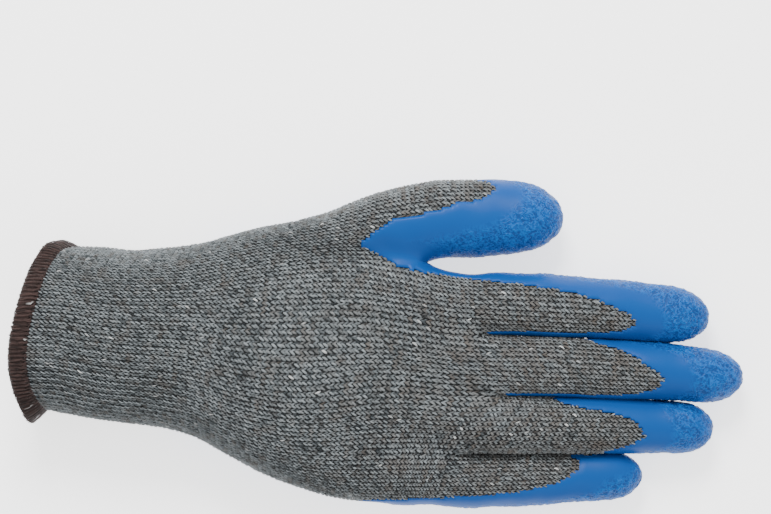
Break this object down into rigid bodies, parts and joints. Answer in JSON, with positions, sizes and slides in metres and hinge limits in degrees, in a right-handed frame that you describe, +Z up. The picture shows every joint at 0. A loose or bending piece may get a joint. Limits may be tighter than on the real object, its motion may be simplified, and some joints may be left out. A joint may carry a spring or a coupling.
{
  "type": "work glove",
  "caption": "Right-hand seamless knitted work glove with a crinkled latex-coated palm and fingertips, ribbed cuff and overlocked hem, lying palm down.",
  "frame": {"origin": "middle of the underside of the bounding box, on the surface the glove lies on", "axes": "+X from the cuff to the fingertips, +Y to the thumb side, +Z up out of the back of the hand"},
  "size_m": [0.2592, 0.1152, 0.042],
  "materials": {
    "knit_yarn": "heather grey knitted yarn",
    "blue_latex": "crinkled latex, satin",
    "hem_thread": "dark brown overlock thread"
  },
  "bodies": {
    "root": {"knit_shell": "knit_yarn", "latex_coating": "blue_latex", "cuff_hem": "hem_thread"}
  },
  "joints": []
}
